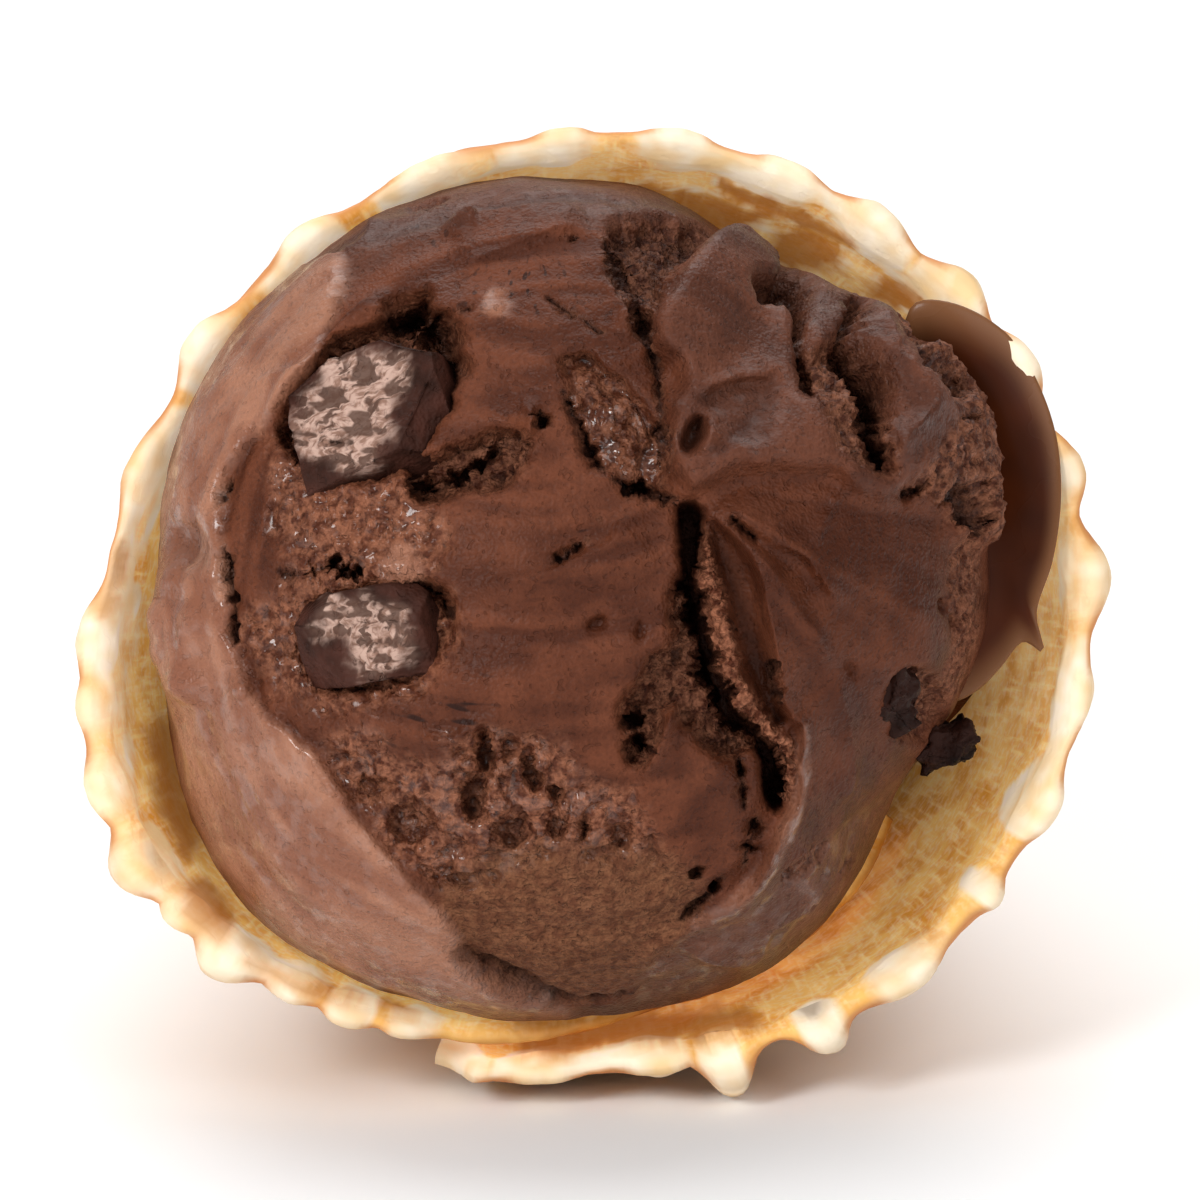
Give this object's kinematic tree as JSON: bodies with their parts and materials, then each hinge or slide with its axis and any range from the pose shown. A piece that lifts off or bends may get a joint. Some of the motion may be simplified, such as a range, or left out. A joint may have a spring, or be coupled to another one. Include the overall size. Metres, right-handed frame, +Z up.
{
  "type": "ice cream cone",
  "caption": "Chocolate ice cream scoop with chocolate chunks, melting in a hand-rolled waffle cone with a knobbly pale rim, lying on its side",
  "frame": {"origin": "middle of the footprint, on the surface that the cone lies on", "axes": "+Z up; the mouth and the scoop face -Y, the tip of the cone points to +Y; +X is to the right as seen from the mouth"},
  "size_m": [0.0756, 0.1633, 0.0706],
  "materials": {
    "waffle": "dry baked waffle, golden brown with a cream-white rim",
    "ice_cream": "moist chocolate ice cream, satin, glossy where it melts",
    "chocolate": "frosted dark chocolate"
  },
  "bodies": {
    "root": {"waffle_cone": "waffle", "ice_cream_scoop": "ice_cream", "chocolate_chunk_upper": "chocolate", "chocolate_chunk_lower": "chocolate", "chocolate_chunk_side": "chocolate", "fudge_crumb": "chocolate"}
  },
  "joints": []
}
